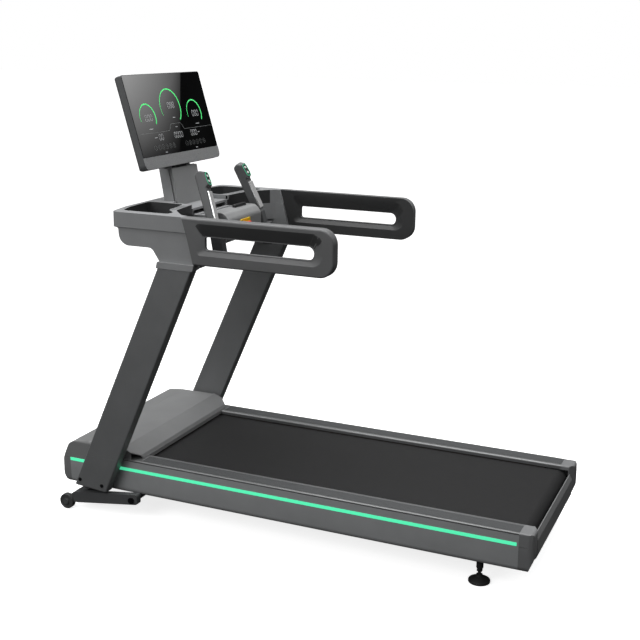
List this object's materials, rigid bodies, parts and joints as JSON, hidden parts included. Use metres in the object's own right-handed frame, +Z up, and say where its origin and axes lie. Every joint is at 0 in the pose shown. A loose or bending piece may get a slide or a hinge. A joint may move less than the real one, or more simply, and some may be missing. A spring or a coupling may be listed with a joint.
{
  "type": "treadmill",
  "caption": "Motorised treadmill with running belt, powered incline frame, slotted handrails, grip levers, and a tilted console display.",
  "frame": {"origin": "on the floor, under the middle of the machine", "axes": "+Y the way the runner faces, +X the runner's right, +Z up"},
  "size_m": [0.881, 1.97, 1.7505],
  "materials": {
    "frame_paint": "satin powder coat",
    "upright_paint": "satin powder coat",
    "deck_board": "waxed phenolic board",
    "rubber": "soft rubber",
    "belt": "fine textured running belt",
    "roller_steel": "turned steel",
    "bolt_black": "black oxide",
    "skin_grey": "satin charcoal",
    "light_strip": "lit mint green diffuser",
    "grip_tape": "fine ribbed insert",
    "cap_plastic": "satin grey",
    "hood_plastic": "satin grey",
    "motor_metal": "semi-gloss",
    "pan_steel": "satin",
    "control_box": "die cast",
    "switch_plastic": "moulded",
    "foot_rubber": "moulded",
    "console_plastic": "fine texture",
    "handrail_plastic": "fine texture",
    "pulse_metal": "polished",
    "module_plastic": "satin grey",
    "neck_plastic": "satin",
    "stop_yellow": "moulded",
    "stop_red": "moulded",
    "key_black": "moulded",
    "button_white": "moulded",
    "screen_glass": "glossy black cover glass",
    "display_trim": "brushed dark",
    "circuit": "laminate"
  },
  "bodies": {
    "treadmill": {"base_frame": "frame_paint", "deck_board": "deck_board", "deck_cushions": "rubber", "running_belt": "belt", "roller_axles": "roller_steel", "roller_bearings": "roller_steel", "frame_bolts": "bolt_black", "side_skins": "skin_grey", "light_strips": "light_strip", "foot_rails": "skin_grey", "rail_inserts": "grip_tape", "rear_caps": "cap_plastic", "rear_guard": "cap_plastic", "hood_cover": "hood_plastic", "front_cover": "hood_plastic", "hood_trim": "cap_plastic", "base_pan": "pan_steel", "drive_motor": "motor_metal", "drive_belt": "rubber", "motor_controller": "control_box", "power_inlet": "switch_plastic", "upright_left": "upright_paint", "upright_right": "upright_paint", "upright_collars": "console_plastic", "console_tray": "console_plastic", "console_lower_cover": "console_plastic", "handrail_left": "handrail_plastic", "handrail_right": "handrail_plastic", "grip_left": "handrail_plastic", "grip_right": "handrail_plastic", "pulse_plates": "pulse_metal", "grip_light_rings": "light_strip", "grip_supports": "frame_paint", "centre_module": "module_plastic", "stop_plate": "stop_yellow", "neck_post": "frame_paint", "neck_front_cover": "module_plastic", "neck_rear_cover": "neck_plastic", "display_housing": "neck_plastic", "display_glass": "screen_glass", "display_strip": "display_trim", "display_board": "circuit"},
    "front_roller": {"front_roller": "roller_steel"},
    "rear_roller": {"rear_roller": "roller_steel"},
    "motor_rotor": {"motor_rotor": "roller_steel"},
    "lift_frame": {"lift_frame": "frame_paint"},
    "lift_motor": {"lift_motor": "motor_metal"},
    "lift_screw": {"lift_screw": "roller_steel"},
    "wheel_left": {"wheel_left": "rubber"},
    "wheel_right": {"wheel_right": "rubber"},
    "rear_foot_left": {"rear_foot_left": "foot_rubber"},
    "rear_foot_right": {"rear_foot_right": "foot_rubber"},
    "power_switch": {"power_switch": "switch_plastic"},
    "breaker_button": {"breaker_button": "switch_plastic"},
    "stop_button": {"stop_button": "stop_red"},
    "safety_key": {"safety_key": "key_black"},
    "grip_button_upper_left": {"grip_button_upper_left": "button_white"},
    "grip_button_lower_left": {"grip_button_lower_left": "button_white"},
    "grip_button_upper_right": {"grip_button_upper_right": "button_white"},
    "grip_button_lower_right": {"grip_button_lower_right": "button_white"}
  },
  "joints": [
    {"name": "front_roller_spin", "type": "hinge", "parent": "treadmill", "child": "front_roller", "pos_m": [0, 0.69, 0.1853], "axis": [1, 0, 0], "continuous": true},
    {"name": "rear_roller_spin", "type": "hinge", "parent": "treadmill", "child": "rear_roller", "pos_m": [0, -0.915, 0.1853], "axis": [1, 0, 0], "continuous": true},
    {"name": "motor_spin", "type": "hinge", "parent": "treadmill", "child": "motor_rotor", "pos_m": [-0.18, 0.85, 0.182], "axis": [1, 0, 0], "continuous": true},
    {"name": "lift_tilt", "type": "hinge", "parent": "treadmill", "child": "lift_frame", "pos_m": [0, 0.624, 0.097], "axis": [-1, 0, 0], "range_deg": [0, 35]},
    {"name": "lift_motor_swing", "type": "hinge", "parent": "treadmill", "child": "lift_motor", "pos_m": [0, 0.85553, 0.23446], "axis": [1, 0, 0], "range_deg": [-12, 12]},
    {"name": "lift_screw_slide", "type": "slide", "parent": "lift_motor", "child": "lift_screw", "axis": [0, -0.6253, -0.7804], "range_m": [0, 0.07]},
    {"name": "wheel_left_spin", "type": "hinge", "parent": "lift_frame", "child": "wheel_left", "pos_m": [-0.415, 0.945, 0.032], "axis": [1, 0, 0], "continuous": true},
    {"name": "wheel_right_spin", "type": "hinge", "parent": "lift_frame", "child": "wheel_right", "pos_m": [0.415, 0.945, 0.032], "axis": [1, 0, 0], "continuous": true},
    {"name": "rear_foot_left_level", "type": "slide", "parent": "treadmill", "child": "rear_foot_left", "axis": [0, 0, -1], "range_m": [0, 0.02]},
    {"name": "rear_foot_right_level", "type": "slide", "parent": "treadmill", "child": "rear_foot_right", "axis": [0, 0, -1], "range_m": [0, 0.02]},
    {"name": "power_switch_rock", "type": "hinge", "parent": "treadmill", "child": "power_switch", "pos_m": [0.212, 0.9765, 0.14], "axis": [1, 0, 0], "range_deg": [0, 10]},
    {"name": "breaker_button_push", "type": "slide", "parent": "treadmill", "child": "breaker_button", "axis": [0, -1, 0], "range_m": [0, 0.004], "stiffness_N_per_m": 400},
    {"name": "stop_button_push", "type": "slide", "parent": "treadmill", "child": "stop_button", "axis": [0, 1, 0], "range_m": [0, 0.006], "stiffness_N_per_m": 600},
    {"name": "safety_key_lift", "type": "slide", "parent": "treadmill", "child": "safety_key", "axis": [0, 0, 1], "range_m": [0, 0.03]},
    {"name": "grip_button_upper_left_push", "type": "slide", "parent": "treadmill", "child": "grip_button_upper_left", "axis": [-0.0891, 0.8908, -0.4457], "range_m": [0, 0.0012], "stiffness_N_per_m": 300},
    {"name": "grip_button_lower_left_push", "type": "slide", "parent": "treadmill", "child": "grip_button_lower_left", "axis": [-0.0891, 0.8908, -0.4457], "range_m": [0, 0.0012], "stiffness_N_per_m": 300},
    {"name": "grip_button_upper_right_push", "type": "slide", "parent": "treadmill", "child": "grip_button_upper_right", "axis": [0.0891, 0.8908, -0.4457], "range_m": [0, 0.0012], "stiffness_N_per_m": 300},
    {"name": "grip_button_lower_right_push", "type": "slide", "parent": "treadmill", "child": "grip_button_lower_right", "axis": [0.0891, 0.8908, -0.4457], "range_m": [0, 0.0012], "stiffness_N_per_m": 300}
  ],
  "couplings": [
    {"joint": "rear_roller_spin", "follows": "front_roller_spin", "ratio": 1},
    {"joint": "motor_spin", "follows": "front_roller_spin", "ratio": 1.9091},
    {"joint": "lift_motor_swing", "follows": "lift_tilt", "ratio": 0.03618},
    {"joint": "lift_screw_slide", "follows": "lift_tilt", "m_per_rad": 0.098503}
  ]
}
